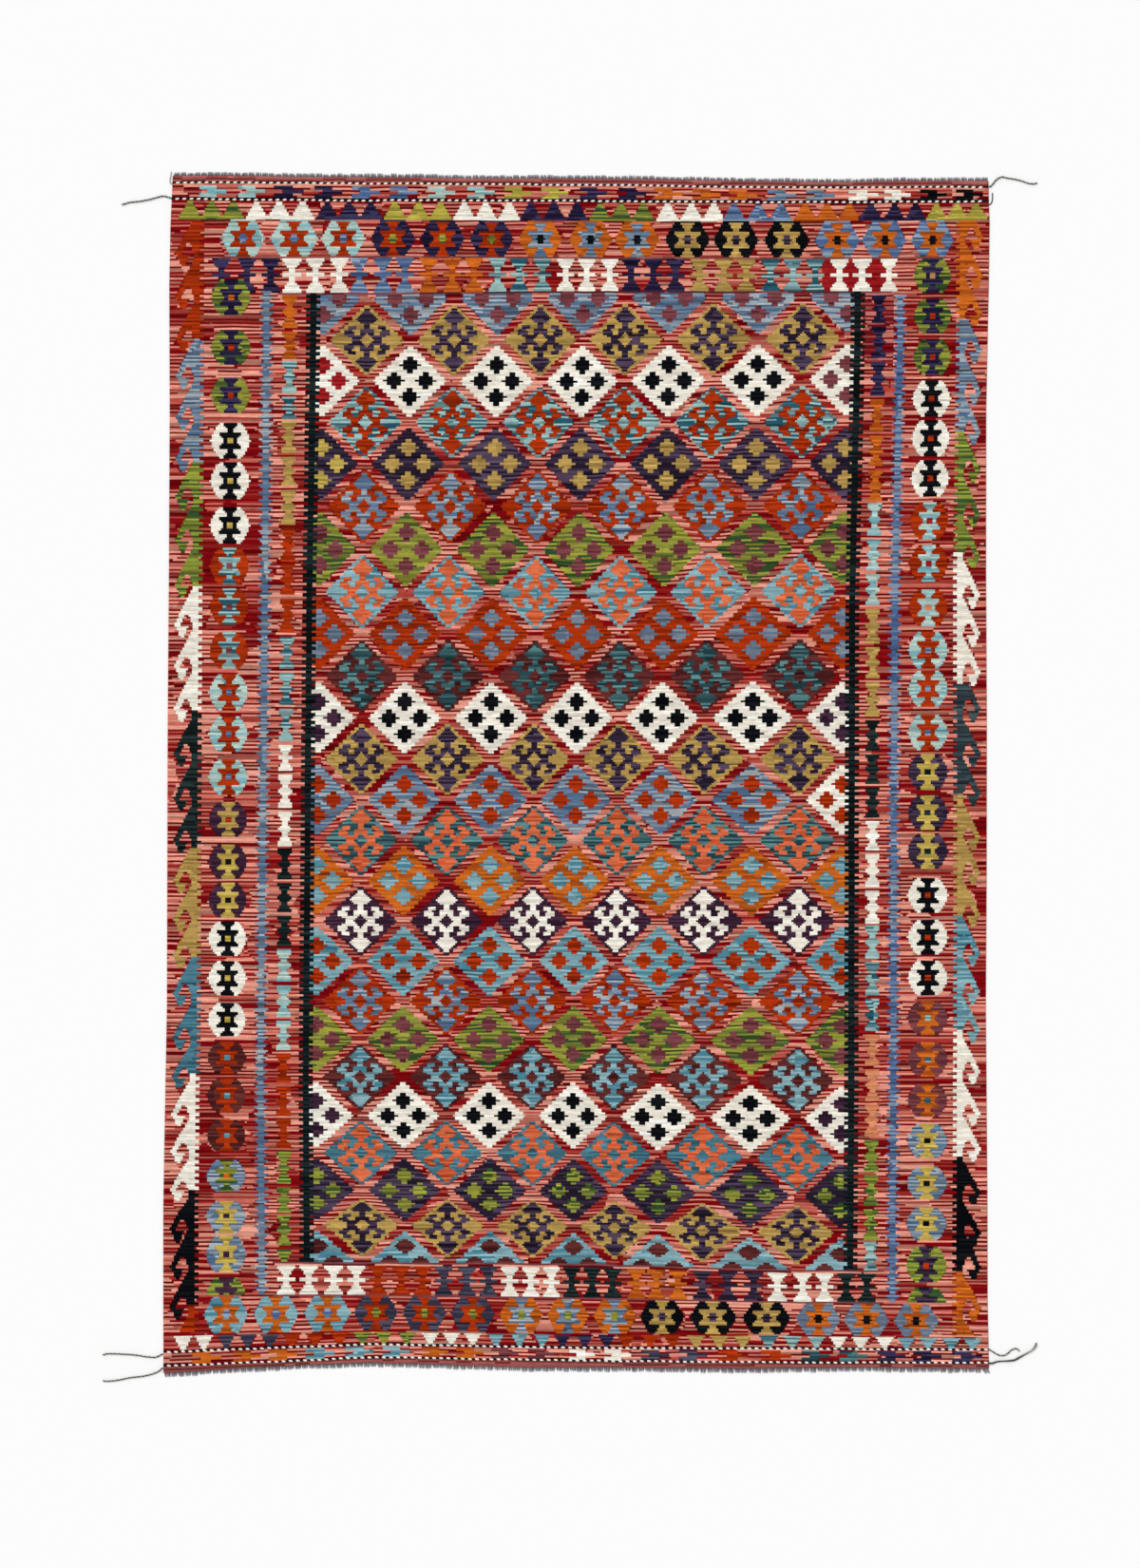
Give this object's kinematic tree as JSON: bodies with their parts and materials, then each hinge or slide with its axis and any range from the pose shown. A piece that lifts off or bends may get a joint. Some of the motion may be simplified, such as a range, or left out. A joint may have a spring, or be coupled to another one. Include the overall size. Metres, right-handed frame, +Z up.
{
  "type": "kilim rug",
  "caption": "flat-woven wool rug with stepped lozenges in slit tapestry, hexagon and hook borders, short cut warp fringe and loose twined yarn tails at its corners",
  "frame": {"origin": "the middle of the rug, cloth and fringe, on the floor that it lies on", "axes": "+Z up out of the pattern side, +Y along the rug towards its head end, +X across it to the right"},
  "size_m": [2.3226, 3.0058, 0.0056],
  "materials": {
    "wool_weft": "weft-faced flat weave in hand-dyed wool, crimson to salmon ground with many-coloured motifs",
    "warp_ends": "cut grey-blue warp yarn",
    "twined_yarn": "black and ivory wool plies twisted together",
    "ivory_yarn": "single ivory wool ply",
    "black_yarn": "single black wool ply"
  },
  "bodies": {
    "root": {"kilim_cloth": "wool_weft", "fringe_head": "warp_ends", "fringe_foot": "warp_ends", "tail_head_left_outer": "ivory_yarn", "tail_head_left_inner": "twined_yarn", "tail_head_right_outer": "twined_yarn", "tail_head_right_inner": "black_yarn", "tail_foot_left_inner": "twined_yarn", "tail_foot_left_outer": "twined_yarn", "tail_foot_right_inner": "twined_yarn", "tail_foot_right_outer": "twined_yarn"}
  },
  "joints": []
}
